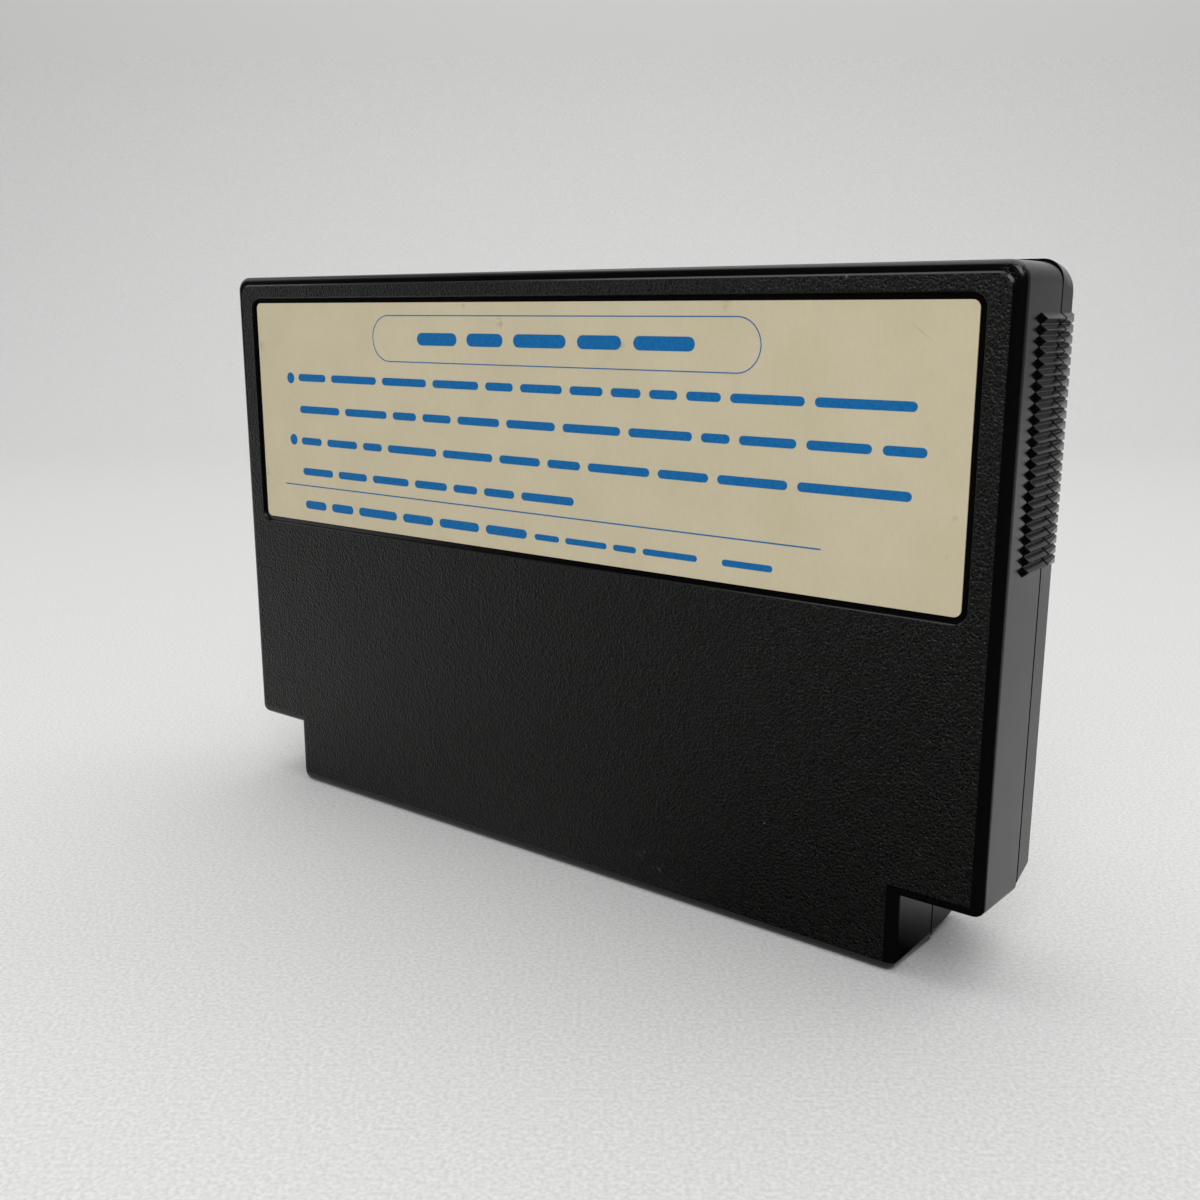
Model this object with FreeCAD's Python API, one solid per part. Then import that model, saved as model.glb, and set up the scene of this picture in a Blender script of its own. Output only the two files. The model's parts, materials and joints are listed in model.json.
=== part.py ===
"""Game cartridge: two moulded half shells that snap together round a circuit board.

The cartridge stands on the rim of its neck. +X is across its width, +Y runs from the stickered rear face to
the bevelled front, +Z is up. The origin is at the middle of the footprint, level with the neck's rim.
All sizes are in millimetres.
"""
import FreeCAD
import Part
import math
import os

V = FreeCAD.Vector

# Case, outside
WIDTH = 109.2  # across the plain side walls, at the parting line
HEIGHT = 70.25  # of the rear half
THICKNESS = 17.0
REAR_DEPTH = 9.2  # rear face to the parting line
FRONT_TOP_STEP = 0.3  # the front half's top stands this far above the rear half's
SIDE_DEPTH = 12.4  # rear face to the start of the front bevel
FRONT_BEVEL = 4.6  # how far the front face lies inside the side walls
NECK_WIDTH = 91.8
NECK_HEIGHT = 8.45
NECK_STEP = 0.45  # the front half's rim starts this far above the rear half's
NECK_RISE = 1.1  # and climbs this much towards the front
SHOULDER_LEVEL = 8.2  # rear face to where the undersides of the shoulders start to climb
SHOULDER_RISE = 1.65  # and what they climb up to the front bevel
TOP_CORNER_RADIUS = 1.9
SHOULDER_CORNER_RADIUS = 1.2
NECK_CORNER_RADIUS = 1.4
SEAM_CORNER_RADIUS = 0.3  # what is left of those two at the parting line
CORNER_FLATS = 4  # that round off those two
BEVEL_CORNER_RADIUS = 3.0  # of the top corners where the front bevel starts
FRONT_CORNER_RADIUS = 2.0  # of the front face
EDGE_RADIUS = 0.8  # round the rear face and the front face
SEAM_WIDTH = 0.3  # of the groove that shows the parting line
SEAM_DEPTH = 0.4
WALL = 1.8

# Raised, grained field of the rear face and the recess for the sticker
FIELD_INSET = 1.0  # from the walls to the foot of the field's sloping edge
FIELD_STEP = 0.2  # its height, and the width of its edge
FIELD_CORNER_RADIUS = 1.5
RECESS_WIDTH = 102.4
RECESS_HEIGHT = 30.2
RECESS_TOP = 67.5
RECESS_DEPTH = 0.35
RECESS_RADIUS = 1.4
RECESS_CHAMFER = 0.12  # round the mouth of both recesses
LABEL_MARGIN = 0.65  # bare floor of the recess round the sticker
LABEL_RADIUS = 0.75
LABEL_THICKNESS = 0.12

# Bare recess of the front face
FRONT_RECESS_WIDTH = 94.0
FRONT_RECESS_HEIGHT = 40.0
FRONT_RECESS_TOP = 62.7
FRONT_RECESS_DEPTH = 0.3

# Grip ribs on the two narrow sides
RIB_COUNT = 24
RIB_PITCH = 1.0
RIB_HEIGHT = 0.6
RIB_TOP_Z = 65.2  # middle of the highest rib
RIB_REAR = 4.2  # rear face to the ribs' rear ends
RIB_SEAM_GAP = 0.15  # the rear half's ribs stop this far from the parting line
RIB_END_HEIGHT = 0.22  # what is left of the ribs at the front bevel
RIB_ROOT = 0.05  # the valleys between ribs stand this proud of the wall
RIB_EMBED = 0.4

# Locating lip of the front half, in a rebate of the rear half
LIP_WIDTH = 0.9
LIP_DEPTH = 1.2
LIP_BOTTOM_Z = 14.0  # no lip in the neck
FIT_GAP = 0.1

# Snap hooks of the front half
HOOK_WIDTH = 9.0
HOOK_THICKNESS = 1.3
HOOK_REACH = 5.0  # past the parting line
HOOK_NOSE = 0.6
HOOK_NOSE_LENGTH = 1.8
TOP_HOOK_X = 30.0
SIDE_HOOK_Z = 26.0

# Board posts of the rear half and clamping bosses of the front half, low on the board
POST_RADIUS = 2.6
POST_PIN_RADIUS = 1.45
POST_PIN_LENGTH = 2.4  # past the board's rear face
POST_X = 43.5
POST_Z = 18.0

# Ribs in both halves that grip the board's upper corners
CLAMP_X = 44.0
CLAMP_Z = 51.0  # middle of the rib
CLAMP_LENGTH = 11.0
CLAMP_WIDTH = 1.4

# Circuit board and its contact tongue
BOARD_WIDTH = 97.0
BOARD_TOP_Z = 58.5
BOARD_THICKNESS = 1.2
BOARD_SHOULDER_GAP = 0.3
BOARD_CORNER_RADIUS = 1.0
TONGUE_WIDTH = 80.4
TONGUE_BOTTOM_Z = 2.0
TONGUE_BEVEL = 0.35
CONTACT_COUNT = 30
CONTACT_PITCH = 2.54
CONTACT_WIDTH = 1.7
CONTACT_LENGTH = 8.0
CONTACT_THICKNESS = 0.08
CONTACT_INSET = 0.6  # from the tongue's lower edge

# Leads of the chips
LEAD_PITCH = 2.54
LEAD_THICKNESS = 0.25
LEAD_WIDTH = 0.6
LEAD_TIP_LENGTH = 1.4  # past the far face of the board
LEAD_HOLE_GAP = 0.15
CHIP_STANDOFF = 0.5
CHIP_TAPER = 0.35
CHIP_NOTCH_RADIUS = 1.2
CHIP_NOTCH_DEPTH = 0.5

# Chips: length, width, height, leads, distance between lead rows, middle x and middle z
WIDE_CHIP = dict(length=36.0, width=13.7, height=3.9, leads=28, row_spacing=15.24)
LATCH_CHIP = dict(length=19.4, width=6.4, height=3.4, leads=16, row_spacing=7.62)
GATE_CHIP = dict(length=18.9, width=6.4, height=3.4, leads=14, row_spacing=7.62)
PROGRAM_MEMORY_X = 13.0
PICTURE_MEMORY_X = -10.0
MEMORY_Z = 34.0
BANK_LATCH_X = 32.5
BANK_LATCH_Z = 36.0
GATE_CHIP_X = -29.5
GATE_CHIP_Z = 40.0

# Electrolytic capacitor, lying on the board
CAN_RADIUS = 2.35
CAN_LENGTH = 11.0
CAN_WALL = 0.3
SLEEVE_THICKNESS = 0.12
BUNG_LENGTH = 1.6
ROUND_FIT_GAP = 0.03
CAN_X = -33.5  # middle of the can
CAN_Z = 22.0
WIRE_RADIUS = 0.25
WIRE_SIDES = 8  # also of small holes and notches
CAN_LEAD_SPACING = 2.0
CAN_LEAD_RUN = 1.6  # from the bung to the hole in the board

# Ceramic capacitors, standing above the chips
CERAMIC_WIDTH = 4.2
CERAMIC_HEIGHT = 3.6
CERAMIC_THICKNESS = 2.0
CERAMIC_CHAMFER = 0.6
CERAMIC_STANDOFF = 0.6
CERAMIC_LEAD_SPACING = 2.5
CERAMIC_CLEARANCE = 2.4  # from the chip's end to the middle of the capacitor

# Places that follow from the sizes above
REAR_Y = -THICKNESS / 2
FRONT_Y = THICKNESS / 2
PARTING_Y = REAR_Y + REAR_DEPTH
BEVEL_Y = REAR_Y + SIDE_DEPTH
INNER_REAR_Y = REAR_Y + WALL
INNER_FRONT_Y = FRONT_Y - WALL
BOARD_FRONT_Y = PARTING_Y
BOARD_REAR_Y = BOARD_FRONT_Y - BOARD_THICKNESS
BOARD_SHOULDER_Z = NECK_HEIGHT + WALL + BOARD_SHOULDER_GAP
POST_HOLE_RADIUS = POST_PIN_RADIUS + FIT_GAP
POST_PLACES = [(-POST_X, POST_Z), (POST_X, POST_Z)]
SHOULDER_SLOPE = SHOULDER_RISE / (SIDE_DEPTH - SHOULDER_LEVEL)
PARTING_RISE = SHOULDER_SLOPE * (REAR_DEPTH - SHOULDER_LEVEL)
FRONT_TOP_Z = HEIGHT + FRONT_TOP_STEP
CASE_RADII = (NECK_CORNER_RADIUS, SHOULDER_CORNER_RADIUS, TOP_CORNER_RADIUS)
SEAM_RADII = (SEAM_CORNER_RADIUS, SEAM_CORNER_RADIUS, TOP_CORNER_RADIUS)
BEYOND = 5.0  # how far a cutting tool reaches past the surface that it opens


# Helpers

def rounded_wire(corners, y):
    """Closed wire in the plane y through (x, z, radius) corners; a radius of 0 leaves its corner sharp."""
    arcs = []
    for i, (x, z, radius) in enumerate(corners):
        here = V(x, y, z)
        before = V(corners[i - 1][0], y, corners[i - 1][1])
        after = V(corners[(i + 1) % len(corners)][0], y, corners[(i + 1) % len(corners)][1])
        back = (before - here).normalize()
        ahead = (after - here).normalize()
        half_angle = back.getAngle(ahead) / 2
        reach = radius / math.tan(half_angle)
        bisector = (back + ahead).normalize()
        middle = here + bisector * (radius / math.sin(half_angle) - radius)
        arcs.append((here + back * reach, middle, here + ahead * reach))
    edges = []
    for i, (start, middle, end) in enumerate(arcs):
        edges.append(Part.LineSegment(arcs[i - 1][2], start).toShape())
        if corners[i][2] > 0:
            edges.append(Part.Arc(start, middle, end).toShape())
    return Part.Wire(edges)


def rectangle(left, bottom, right, top, y, low_radius, high_radius):
    """Rounded rectangle in the plane y."""
    return rounded_wire([
        (left, bottom, low_radius),
        (right, bottom, low_radius),
        (right, top, high_radius),
        (left, top, high_radius),
    ], y)


def flat_corner(x, z, radius):
    """Points of a lower right corner that a few flats round off."""
    if radius == 0:
        return [(x, z, 0)]
    points = []
    for i in range(CORNER_FLATS + 1):
        angle = math.pi / 2 * i / CORNER_FLATS
        points.append((x - radius * (1 - math.sin(angle)), z + radius * (1 - math.cos(angle)), 0))
    return points


def case_outline(y, inset, rim_z, radii=CASE_RADII):
    """Outline of the body and its neck, moved inwards by inset, with the neck ending at rim_z.

    The radii are those of the neck's, the shoulders' and the top corners before the move.
    """
    neck_radius, shoulder_radius, top_radius = [max(radius - inset, 0) for radius in radii]
    neck = NECK_WIDTH / 2 - inset
    body = WIDTH / 2 - inset
    shoulder = NECK_HEIGHT + inset
    top = HEIGHT - inset
    right = flat_corner(neck, rim_z, neck_radius)
    right.append((neck, shoulder, 0))
    right += flat_corner(body, shoulder, shoulder_radius)
    right.append((body, top, top_radius))
    left = [(-x, z, radius) for x, z, radius in reversed(right)]
    return rounded_wire(right + left, y)


def prism(wire, depth):
    """Solid that runs from a flat wire along +Y by depth."""
    return Part.Face(wire).extrude(V(0, depth, 0))


def tapered_prism(first, second):
    """Solid between two like wires across Y, which differ in their straight edges only."""
    depth = V(0, second.BoundBox.YMin - first.BoundBox.YMin, 0)
    faces = [Part.Face(first), Part.Face(second)]
    for near, far in zip(first.OrderedEdges, second.OrderedEdges):
        if isinstance(near.Curve, Part.Line):
            sides = Part.makeRuledSurface(near, far).Edges
            faces.append(Part.Face(Part.Wire(Part.sortEdges(sides)[0])))
        else:
            faces.append(near.extrude(depth))
    shell = Part.makeShell(faces)
    shell.sewShape()
    return Part.makeSolid(shell)


def block(x0, x1, y0, y1, z0, z1):
    """Box between two corners, given in any order."""
    low = V(min(x0, x1), min(y0, y1), min(z0, z1))
    return Part.makeBox(abs(x1 - x0), abs(y1 - y0), abs(z1 - z0), low)


def along_y(radius, y0, y1, x, z):
    """Cylinder along Y."""
    return Part.makeCylinder(radius, y1 - y0, V(x, y0, z), V(0, 1, 0))


def wire_section(radius, centre, across, up):
    """Outline of a small round thing: a polygon about centre in the plane of two unit vectors."""
    points = []
    for i in range(WIRE_SIDES):
        angle = 2 * math.pi * (i + 0.5) / WIRE_SIDES
        points.append(centre + across * (radius * math.cos(angle)) + up * (radius * math.sin(angle)))
    return Part.makePolygon(points + points[:1])


def wire_along_y(radius, y0, y1, x, z):
    """Straight thin wire, or the tool for a small hole or notch, along Y."""
    return prism(wire_section(radius, V(x, y0, z), V(1, 0, 0), V(0, 0, 1)), y1 - y0)


def mirrored(shape):
    """Copy on the other side of the middle plane."""
    return shape.mirror(V(0, 0, 0), V(1, 0, 0))


def edges_in_plane(shape, y):
    """Edges that lie wholly in the plane y."""
    return [e for e in shape.Edges if all(abs(v.Y - y) < 1e-6 for v in e.Vertexes)]


def union(first, others):
    """One clean solid."""
    return first.fuse(others).removeSplitter()


# Recesses for stickers

def recess_tool(width, height, top, radius, face_y, floor_y):
    """Tool that sinks a rounded rectangle from a face to a floor, with a chamfered mouth."""
    inwards = math.copysign(RECESS_CHAMFER, floor_y - face_y)

    def section(y, grow):
        return rectangle(
            -width / 2 - grow, top - height - grow, width / 2 + grow, top + grow, y,
            radius + grow, radius + grow)

    return Part.makeLoft([
        section(face_y - inwards, 2 * RECESS_CHAMFER),
        section(face_y + inwards, 0),
        section(floor_y, 0),
    ], True, True)


# Grip ribs

def rib_prism(y0, y1):
    """Saw-toothed strip of ribs on the +X side, between two depths."""
    wall_x = WIDTH / 2 + RIB_ROOT
    high_z = RIB_TOP_Z + RIB_PITCH / 2
    points = [V(wall_x - RIB_EMBED, y0, high_z), V(wall_x, y0, high_z)]
    for i in range(RIB_COUNT):
        middle_z = RIB_TOP_Z - i * RIB_PITCH
        points.append(V(wall_x + RIB_HEIGHT, y0, middle_z))
        points.append(V(wall_x, y0, middle_z - RIB_PITCH / 2))
    low_z = high_z - RIB_COUNT * RIB_PITCH
    points.append(V(wall_x - RIB_EMBED, y0, low_z))
    return prism(Part.makePolygon(points + points[:1]), y1 - y0)


def rear_ribs():
    """Full-height ribs, from their flat rear ends to the parting line."""
    return rib_prism(REAR_Y + RIB_REAR, PARTING_Y - RIB_SEAM_GAP)


def front_ribs():
    """Ribs that run out towards the front bevel."""
    start_y = PARTING_Y + SEAM_WIDTH
    wall_x = WIDTH / 2 + RIB_ROOT
    full = rib_prism(start_y, BEVEL_Y)
    slope = Part.makePolygon([
        V(wall_x - RIB_EMBED, start_y, 0),
        V(wall_x + RIB_HEIGHT, start_y, 0),
        V(wall_x + RIB_END_HEIGHT, BEVEL_Y, 0),
        V(wall_x - RIB_EMBED, BEVEL_Y, 0),
        V(wall_x - RIB_EMBED, start_y, 0),
    ])
    return full.common(Part.Face(slope).extrude(V(0, 0, HEIGHT)))


# Snap hooks and the pockets that they catch in

def top_hook_profile(y_tip, outer_z, clearance):
    """Nose of a hook, seen from the side, standing up from outer_z and grown by clearance."""
    peak_z = outer_z + HOOK_NOSE
    return [
        V(0, y_tip - clearance, outer_z),
        V(0, y_tip + HOOK_NOSE_LENGTH - HOOK_NOSE, peak_z),
        V(0, y_tip + HOOK_NOSE_LENGTH + clearance, peak_z),
        V(0, y_tip + HOOK_NOSE_LENGTH + clearance, outer_z),
    ]


def hook(outer_z):
    """Hook on the inside of a wall whose inner face is at outer_z, in the middle plane, nose up."""
    half = HOOK_WIDTH / 2
    arm_z = outer_z - FIT_GAP
    y_tip = PARTING_Y - HOOK_REACH
    arm = block(-half, half, y_tip, BEVEL_Y, arm_z - HOOK_THICKNESS, arm_z)
    root = block(-half, half, PARTING_Y, BEVEL_Y, arm_z - HOOK_THICKNESS, outer_z + WALL / 2)
    points = top_hook_profile(y_tip, arm_z, 0)
    nose = Part.Face(Part.makePolygon(points + points[:1])).extrude(V(HOOK_WIDTH, 0, 0))
    nose.translate(V(-half, 0, 0))
    return union(arm, [root, nose])


def hook_pocket(outer_z):
    """Space for a hook's nose in the wall of the rear half."""
    half = HOOK_WIDTH / 2 + FIT_GAP
    y_tip = PARTING_Y - HOOK_REACH
    low_z = outer_z - FIT_GAP
    points = top_hook_profile(y_tip, low_z, FIT_GAP)
    points = [p + V(0, 0, FIT_GAP) for p in points]
    pocket = Part.Face(Part.makePolygon(points + points[:1])).extrude(V(2 * half, 0, 0))
    pocket.translate(V(-half, 0, 0))
    return pocket


def at_hooks(make):
    """The four copies of a hook or pocket: two under the top wall, one inside each side wall."""
    copies = []
    for side in (-1, 1):
        top = make(HEIGHT - WALL)
        top.translate(V(side * TOP_HOOK_X, 0, 0))
        copies.append(top)
        turned = make(WIDTH / 2 - WALL)
        turned.rotate(V(0, 0, 0), V(0, 1, 0), side * 90)
        turned.translate(V(0, 0, SIDE_HOOK_Z))
        copies.append(turned)
    return copies


# Ribs that grip the board

def clamp_ribs(y0, y1):
    """Upright ribs at both upper corners of the board, between two depths."""
    half = CLAMP_WIDTH / 2
    low_z = CLAMP_Z - CLAMP_LENGTH / 2
    high_z = CLAMP_Z + CLAMP_LENGTH / 2
    right = block(CLAMP_X - half, CLAMP_X + half, y0, y1, low_z, high_z)
    return [right, mirrored(right)]


# Rear half of the case

def raised_field(edge_y):
    """Field of the rear face, with sloping edges and its foot sunk a little below edge_y."""

    def section(y, inset):
        radii = (0, 0, FIELD_CORNER_RADIUS + inset)
        return case_outline(y, inset, inset, radii)

    return Part.makeLoft([
        section(REAR_Y, FIELD_INSET + FIELD_STEP),
        section(edge_y, FIELD_INSET),
        section(edge_y + FIELD_STEP, FIELD_INSET),
    ], True, True)


def shoulder_wedge():
    """Space under the climbing part of the shoulder on the +X side."""
    side = NECK_WIDTH / 2
    low_z = NECK_HEIGHT - SHOULDER_SLOPE * BEYOND
    high_z = NECK_HEIGHT + PARTING_RISE + SHOULDER_SLOPE * BEYOND
    points = [
        V(side, REAR_Y + SHOULDER_LEVEL - BEYOND, low_z),
        V(side, PARTING_Y + BEYOND, high_z),
        V(side, PARTING_Y + BEYOND, low_z),
    ]
    return Part.Face(Part.makePolygon(points + points[:1])).extrude(V(WIDTH - side, 0, 0))


def make_rear_shell():
    edge_y = REAR_Y + FIELD_STEP
    outside = tapered_prism(case_outline(edge_y, 0, 0), case_outline(PARTING_Y, 0, 0, SEAM_RADII))
    outside = outside.makeFillet(EDGE_RADIUS, edges_in_plane(outside, edge_y))
    shell = union(outside, [raised_field(edge_y), rear_ribs(), mirrored(rear_ribs())])

    recess = recess_tool(
        RECESS_WIDTH, RECESS_HEIGHT, RECESS_TOP, RECESS_RADIUS, REAR_Y, REAR_Y + RECESS_DEPTH)
    cavity = prism(case_outline(INNER_REAR_Y, WALL, -BEYOND), REAR_DEPTH)
    rebate = prism(case_outline(PARTING_Y - LIP_DEPTH, WALL - LIP_WIDTH, -BEYOND), REAR_DEPTH)
    rebate = rebate.cut(block(-WIDTH, WIDTH, REAR_Y, FRONT_Y, -BEYOND, LIP_BOTTOM_Z - FIT_GAP))
    tools = [recess, cavity, rebate, shoulder_wedge(), mirrored(shoulder_wedge())]
    shell = shell.cut(tools + at_hooks(hook_pocket))

    posts = []
    for x, z in POST_PLACES:
        posts.append(along_y(POST_RADIUS, INNER_REAR_Y - WALL / 2, BOARD_REAR_Y, x, z))
        posts.append(along_y(POST_PIN_RADIUS, INNER_REAR_Y, BOARD_REAR_Y + POST_PIN_LENGTH, x, z))
    return union(shell, posts + clamp_ribs(INNER_REAR_Y - WALL / 2, BOARD_REAR_Y))


# Front half of the case

def front_block():
    """Outside of the front half's body: straight walls, then the bevel up to the front face."""
    side = WIDTH / 2

    def section(y, rise, top_radius):
        return rectangle(
            -side, NECK_HEIGHT + rise, side, FRONT_TOP_Z, y, SEAM_CORNER_RADIUS, top_radius)

    front_side = side - FRONT_BEVEL
    front_low = NECK_HEIGHT + SHOULDER_RISE + FRONT_BEVEL
    front = rectangle(
        -front_side, front_low, front_side, FRONT_TOP_Z - FRONT_BEVEL, FRONT_Y,
        FRONT_CORNER_RADIUS, FRONT_CORNER_RADIUS)
    body = Part.makeLoft([
        section(PARTING_Y, PARTING_RISE, TOP_CORNER_RADIUS),
        section(BEVEL_Y, SHOULDER_RISE, BEVEL_CORNER_RADIUS),
        front,
    ], True, True)
    return body.makeFillet(EDGE_RADIUS, edges_in_plane(body, FRONT_Y))


def front_hollow():
    """Inside of the front half's body, one wall in from the block, with plain corners."""
    turn = math.atan2(FRONT_BEVEL, FRONT_Y - BEVEL_Y)
    straight_y = BEVEL_Y - WALL * math.tan(turn / 2)
    front_inset = FRONT_BEVEL + WALL * math.tan((math.pi / 2 - turn) / 2)

    def section(y, inset, rise):
        side = WIDTH / 2 - inset
        return rectangle(-side, NECK_HEIGHT + inset + rise, side, HEIGHT - inset, y, 0, 0)

    return Part.makeLoft([
        section(PARTING_Y, WALL, PARTING_RISE),
        section(straight_y, WALL, SHOULDER_RISE),
        section(INNER_FRONT_Y, front_inset, SHOULDER_RISE),
    ], True, True)


def front_neck():
    """Outside of the front half's neck, from its sloping rim up into the body."""
    side = NECK_WIDTH / 2
    top_z = HEIGHT / 2
    points = [
        V(-side, PARTING_Y, NECK_STEP),
        V(-side, FRONT_Y, NECK_STEP + NECK_RISE),
        V(-side, FRONT_Y, top_z),
        V(-side, PARTING_Y, top_z),
    ]
    neck = Part.Face(Part.makePolygon(points + points[:1])).extrude(V(NECK_WIDTH, 0, 0))
    front_edges = [e for e in edges_in_plane(neck, FRONT_Y) if e.BoundBox.ZMin < top_z - EDGE_RADIUS]
    return neck.makeFillet(EDGE_RADIUS, front_edges)


def seam_groove():
    """Tool for the groove next to the parting line, round all but what stays of the front half there."""
    end_y = PARTING_Y + SEAM_WIDTH
    side = WIDTH / 2 - SEAM_DEPTH
    neck = NECK_WIDTH / 2 - SEAM_DEPTH
    low_z = NECK_HEIGHT + PARTING_RISE + SEAM_DEPTH
    body = rectangle(
        -side, low_z, side, FRONT_TOP_Z - SEAM_DEPTH, PARTING_Y, 0, TOP_CORNER_RADIUS - SEAM_DEPTH)
    kept = union(
        prism(body, SEAM_WIDTH), [block(-neck, neck, PARTING_Y, end_y, -BEYOND, HEIGHT / 2)])
    return block(-WIDTH, WIDTH, PARTING_Y, end_y, -BEYOND, HEIGHT + BEYOND).cut(kept)


def make_front_shell():
    shell = union(front_block(), [front_neck(), front_ribs(), mirrored(front_ribs())])
    recess = recess_tool(
        FRONT_RECESS_WIDTH, FRONT_RECESS_HEIGHT, FRONT_RECESS_TOP, FRONT_CORNER_RADIUS,
        FRONT_Y, FRONT_Y - FRONT_RECESS_DEPTH)
    inner_side = NECK_WIDTH / 2 - WALL
    neck_hollow = block(
        -inner_side, inner_side, PARTING_Y - BEYOND, INNER_FRONT_Y, -BEYOND, HEIGHT / 2)
    shell = shell.cut([recess, front_hollow(), neck_hollow, seam_groove()])

    ring_depth = LIP_DEPTH - FIT_GAP
    lip = prism(case_outline(PARTING_Y - ring_depth, WALL - LIP_WIDTH + FIT_GAP, 0), ring_depth + WALL)
    lip = lip.cut(prism(case_outline(PARTING_Y - BEYOND, WALL + FIT_GAP, -BEYOND), 3 * BEYOND))
    lip = lip.cut(block(-WIDTH, WIDTH, REAR_Y, FRONT_Y, -BEYOND, LIP_BOTTOM_Z))
    added = [lip] + at_hooks(hook) + clamp_ribs(BOARD_FRONT_Y + FIT_GAP, INNER_FRONT_Y + WALL / 2)
    for x, z in POST_PLACES:
        added.append(along_y(POST_RADIUS, BOARD_FRONT_Y + FIT_GAP, INNER_FRONT_Y + WALL / 2, x, z))
    shell = union(shell, added)
    bores = [along_y(POST_HOLE_RADIUS, PARTING_Y - BEYOND, INNER_FRONT_Y, x, z) for x, z in POST_PLACES]
    return shell.cut(bores)


# Sticker

def make_rear_label():
    floor_y = REAR_Y + RECESS_DEPTH
    half = RECESS_WIDTH / 2 - LABEL_MARGIN
    outline = rectangle(
        -half, RECESS_TOP - RECESS_HEIGHT + LABEL_MARGIN, half, RECESS_TOP - LABEL_MARGIN,
        floor_y - LABEL_THICKNESS, LABEL_RADIUS, LABEL_RADIUS)
    return prism(outline, LABEL_THICKNESS)


# Chips, on the rear face of the board

def chip_body(chip, x, z):
    """Moulded body, widest where the leads come out, with the notch at its upper end."""
    near_y = BOARD_REAR_Y - CHIP_STANDOFF
    middle_y = near_y - chip["height"] / 2
    band = LEAD_THICKNESS / 2
    half_x = chip["width"] / 2
    half_z = chip["length"] / 2

    def section(y, taper):
        corners = [(-1, -1), (1, -1), (1, 1), (-1, 1)]
        points = [V(x + a * (half_x - taper), y, z + b * (half_z - taper)) for a, b in corners]
        return Part.makePolygon(points + points[:1])

    body = Part.makeLoft([
        section(near_y - chip["height"], CHIP_TAPER),
        section(middle_y - band, 0),
        section(middle_y + band, 0),
        section(near_y, CHIP_TAPER),
    ], True, True)
    far_y = near_y - chip["height"]
    notch = wire_along_y(
        CHIP_NOTCH_RADIUS, far_y - BEYOND, far_y + CHIP_NOTCH_DEPTH, x, z + half_z - CHIP_TAPER)
    return body.cut(notch)


def lead_places(chip, x, z):
    """Side and place of each lead, where it goes through the board."""
    per_row = int(chip["leads"] / 2)
    places = []
    for side in (-1, 1):
        for i in range(per_row):
            lead_z = z + (i - (per_row - 1) / 2) * LEAD_PITCH
            places.append((side, x + side * chip["row_spacing"] / 2, lead_z))
    return places


def chip_leads(chip, x, z):
    """Bent leads: out of the body's side, then straight down through the board."""
    middle_y = BOARD_REAR_Y - CHIP_STANDOFF - chip["height"] / 2
    band = LEAD_THICKNESS / 2
    run = (chip["row_spacing"] - chip["width"]) / 2
    half = LEAD_WIDTH / 2
    flat = block(-run, band, middle_y - band, middle_y + band, -half, half)
    upright = block(-band, band, middle_y - band, BOARD_FRONT_Y + LEAD_TIP_LENGTH, -half, half)
    right = union(flat, [upright])
    left = mirrored(right)
    leads = []
    for side, lead_x, lead_z in lead_places(chip, x, z):
        lead = (right if side > 0 else left).copy()
        lead.translate(V(lead_x, 0, lead_z))
        leads.append(lead)
    return Part.makeCompound(leads)


CHIPS = {
    "program_memory": (WIDE_CHIP, PROGRAM_MEMORY_X, MEMORY_Z),
    "picture_memory": (WIDE_CHIP, PICTURE_MEMORY_X, MEMORY_Z),
    "bank_latch": (LATCH_CHIP, BANK_LATCH_X, BANK_LATCH_Z),
    "gate_chip": (GATE_CHIP, GATE_CHIP_X, GATE_CHIP_Z),
}


# Electrolytic capacitor

SLEEVE_INNER_RADIUS = CAN_RADIUS + ROUND_FIT_GAP
SLEEVE_OUTER_RADIUS = SLEEVE_INNER_RADIUS + SLEEVE_THICKNESS
CAN_Y = BOARD_REAR_Y - SLEEVE_OUTER_RADIUS
CAN_END_X = CAN_X + CAN_LENGTH / 2


def along_x(radius, x0, x1):
    """Cylinder on the can's axis."""
    return Part.makeCylinder(radius, x1 - x0, V(x0, CAN_Y, CAN_Z), V(1, 0, 0))


def make_capacitor():
    start_x = CAN_X - CAN_LENGTH / 2
    bore = CAN_RADIUS - CAN_WALL
    bung = along_x(bore - ROUND_FIT_GAP, CAN_END_X - BUNG_LENGTH, CAN_END_X)
    can = along_x(CAN_RADIUS, start_x, CAN_END_X).cut(
        along_x(bore, CAN_END_X - BUNG_LENGTH, CAN_END_X + BEYOND))
    sleeve = along_x(SLEEVE_OUTER_RADIUS, start_x, CAN_END_X).cut(
        along_x(SLEEVE_INNER_RADIUS, start_x - BEYOND, CAN_END_X + BEYOND))
    leads = []
    for z in can_lead_heights():
        leads.append(can_lead(z))
    return {
        "capacitor_can": can,
        "capacitor_sleeve": sleeve,
        "capacitor_bung": bung,
        "capacitor_leads": Part.makeCompound(leads),
    }


def can_lead_heights():
    return [CAN_Z + side * CAN_LEAD_SPACING / 2 for side in (-1, 1)]


def can_lead(z):
    """Wire that leaves the bung, turns towards the board and goes through it."""
    start = V(CAN_END_X, CAN_Y, z)
    corner = start + V(CAN_LEAD_RUN, 0, 0)
    end = V(corner.x, BOARD_FRONT_Y + LEAD_TIP_LENGTH, z)
    path = Part.makePolygon([start, corner, end])
    section = wire_section(WIRE_RADIUS, start, V(0, 1, 0), V(0, 0, 1))
    mitred = 1
    return path.makePipeShell([section], True, False, mitred)


# Ceramic capacitors, one above each chip

def ceramic_places():
    return [(x, z + chip["length"] / 2 + CERAMIC_CLEARANCE) for chip, x, z in CHIPS.values()]


def ceramic_lead_places():
    half = CERAMIC_LEAD_SPACING / 2
    return [(x + side * half, z) for x, z in ceramic_places() for side in (-1, 1)]


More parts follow.
